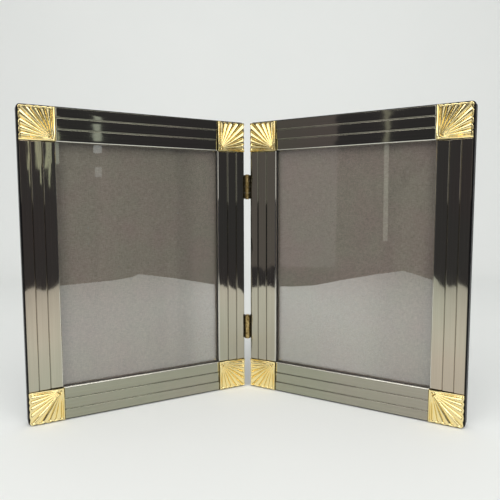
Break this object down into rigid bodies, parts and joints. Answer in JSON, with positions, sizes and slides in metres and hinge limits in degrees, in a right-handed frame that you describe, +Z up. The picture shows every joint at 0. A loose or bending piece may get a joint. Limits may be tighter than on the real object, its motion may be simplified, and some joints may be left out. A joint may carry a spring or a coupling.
{
  "type": "hinged double photo frame",
  "caption": "Two upright photo frames with stepped polished mouldings and shell-pattern corner plates, hinged along one side to stand like an open book.",
  "frame": {"origin": "under the middle of the whole frame, on the surface that it stands on", "axes": "+Z up, the fronts of both leaves face -Y, +X runs from the left leaf to the right leaf"},
  "size_m": [0.3052, 0.0916, 0.2176],
  "materials": {
    "polished_moulding": "polished black-nickel plated stepped moulding, mirror bright with fine lengthwise lines",
    "gold_plate": "polished gold-coloured plating on a cast corner plate",
    "black_body": "satin black lacquer on timber",
    "clear_glass": "clear sheet glass",
    "grey_card": "uncoated grey-brown card with fine fibres",
    "plain_card": "plain pulp board",
    "flocked_board": "black velvet flock on fibreboard",
    "hinge_brass": "aged brass, lightly tarnished",
    "plated_steel": "nickel-plated pressed steel"
  },
  "bodies": {
    "left_leaf": {"left_top_rail": "polished_moulding", "left_bottom_rail": "polished_moulding", "left_inner_stile": "polished_moulding", "left_outer_stile": "polished_moulding", "left_corner_plate_top_inner": "gold_plate", "left_corner_plate_top_outer": "gold_plate", "left_corner_plate_bottom_inner": "gold_plate", "left_corner_plate_bottom_outer": "gold_plate", "left_body_bar_top": "black_body", "left_body_bar_bottom": "black_body", "left_body_bar_inner": "black_body", "left_body_bar_outer": "black_body", "left_glass": "clear_glass", "left_photo_insert": "grey_card", "left_filler_card": "plain_card", "left_back_board": "flocked_board", "left_pivot_screws": "plated_steel", "left_hinge_screws": "hinge_brass", "left_hinge_leaf_upper": "hinge_brass", "left_hinge_leaf_lower": "hinge_brass", "hinge_pin_upper": "hinge_brass", "hinge_pin_lower": "hinge_brass"},
    "right_leaf": {"right_top_rail": "polished_moulding", "right_bottom_rail": "polished_moulding", "right_inner_stile": "polished_moulding", "right_outer_stile": "polished_moulding", "right_corner_plate_top_inner": "gold_plate", "right_corner_plate_top_outer": "gold_plate", "right_corner_plate_bottom_inner": "gold_plate", "right_corner_plate_bottom_outer": "gold_plate", "right_body_bar_top": "black_body", "right_body_bar_bottom": "black_body", "right_body_bar_inner": "black_body", "right_body_bar_outer": "black_body", "right_glass": "clear_glass", "right_photo_insert": "grey_card", "right_filler_card": "plain_card", "right_back_board": "flocked_board", "right_pivot_screws": "plated_steel", "right_hinge_screws": "hinge_brass", "right_hinge_leaf_upper": "hinge_brass", "right_hinge_leaf_lower": "hinge_brass"},
    "left_turn_button_inner": {"left_turn_button_inner": "plated_steel"},
    "left_turn_button_outer": {"left_turn_button_outer": "plated_steel"},
    "left_turn_button_bottom": {"left_turn_button_bottom": "plated_steel"},
    "left_turn_button_top": {"left_turn_button_top": "plated_steel"},
    "right_turn_button_inner": {"right_turn_button_inner": "plated_steel"},
    "right_turn_button_outer": {"right_turn_button_outer": "plated_steel"},
    "right_turn_button_bottom": {"right_turn_button_bottom": "plated_steel"},
    "right_turn_button_top": {"right_turn_button_top": "plated_steel"}
  },
  "joints": [
    {"name": "leaf_fold", "type": "hinge", "parent": "left_leaf", "child": "right_leaf", "pos_m": [0, 0.03725, 0.1084], "axis": [0, 0, 1], "range_deg": [-120.8, 67.2]},
    {"name": "left_turn_button_inner_turn", "type": "hinge", "parent": "left_leaf", "child": "left_turn_button_inner", "pos_m": [-0.01865, 0.03971, 0.1088], "axis": [-0.4939, 0.8695, 0], "continuous": true},
    {"name": "left_turn_button_outer_turn", "type": "hinge", "parent": "left_leaf", "child": "left_turn_button_outer", "pos_m": [-0.14125, -0.02993, 0.1088], "axis": [-0.4939, 0.8695, 0], "continuous": true},
    {"name": "left_turn_button_bottom_turn", "type": "hinge", "parent": "left_leaf", "child": "left_turn_button_bottom", "pos_m": [-0.07995, 0.00489, 0.0128], "axis": [-0.4939, 0.8695, 0], "continuous": true},
    {"name": "left_turn_button_top_turn", "type": "hinge", "parent": "left_leaf", "child": "left_turn_button_top", "pos_m": [-0.07995, 0.00489, 0.2048], "axis": [-0.4939, 0.8695, 0], "continuous": true},
    {"name": "right_turn_button_inner_turn", "type": "hinge", "parent": "right_leaf", "child": "right_turn_button_inner", "pos_m": [0.01865, 0.03971, 0.1088], "axis": [0.4939, 0.8695, 0], "continuous": true},
    {"name": "right_turn_button_outer_turn", "type": "hinge", "parent": "right_leaf", "child": "right_turn_button_outer", "pos_m": [0.14125, -0.02993, 0.1088], "axis": [0.4939, 0.8695, 0], "continuous": true},
    {"name": "right_turn_button_bottom_turn", "type": "hinge", "parent": "right_leaf", "child": "right_turn_button_bottom", "pos_m": [0.07995, 0.00489, 0.0128], "axis": [0.4939, 0.8695, 0], "continuous": true},
    {"name": "right_turn_button_top_turn", "type": "hinge", "parent": "right_leaf", "child": "right_turn_button_top", "pos_m": [0.07995, 0.00489, 0.2048], "axis": [0.4939, 0.8695, 0], "continuous": true}
  ]
}
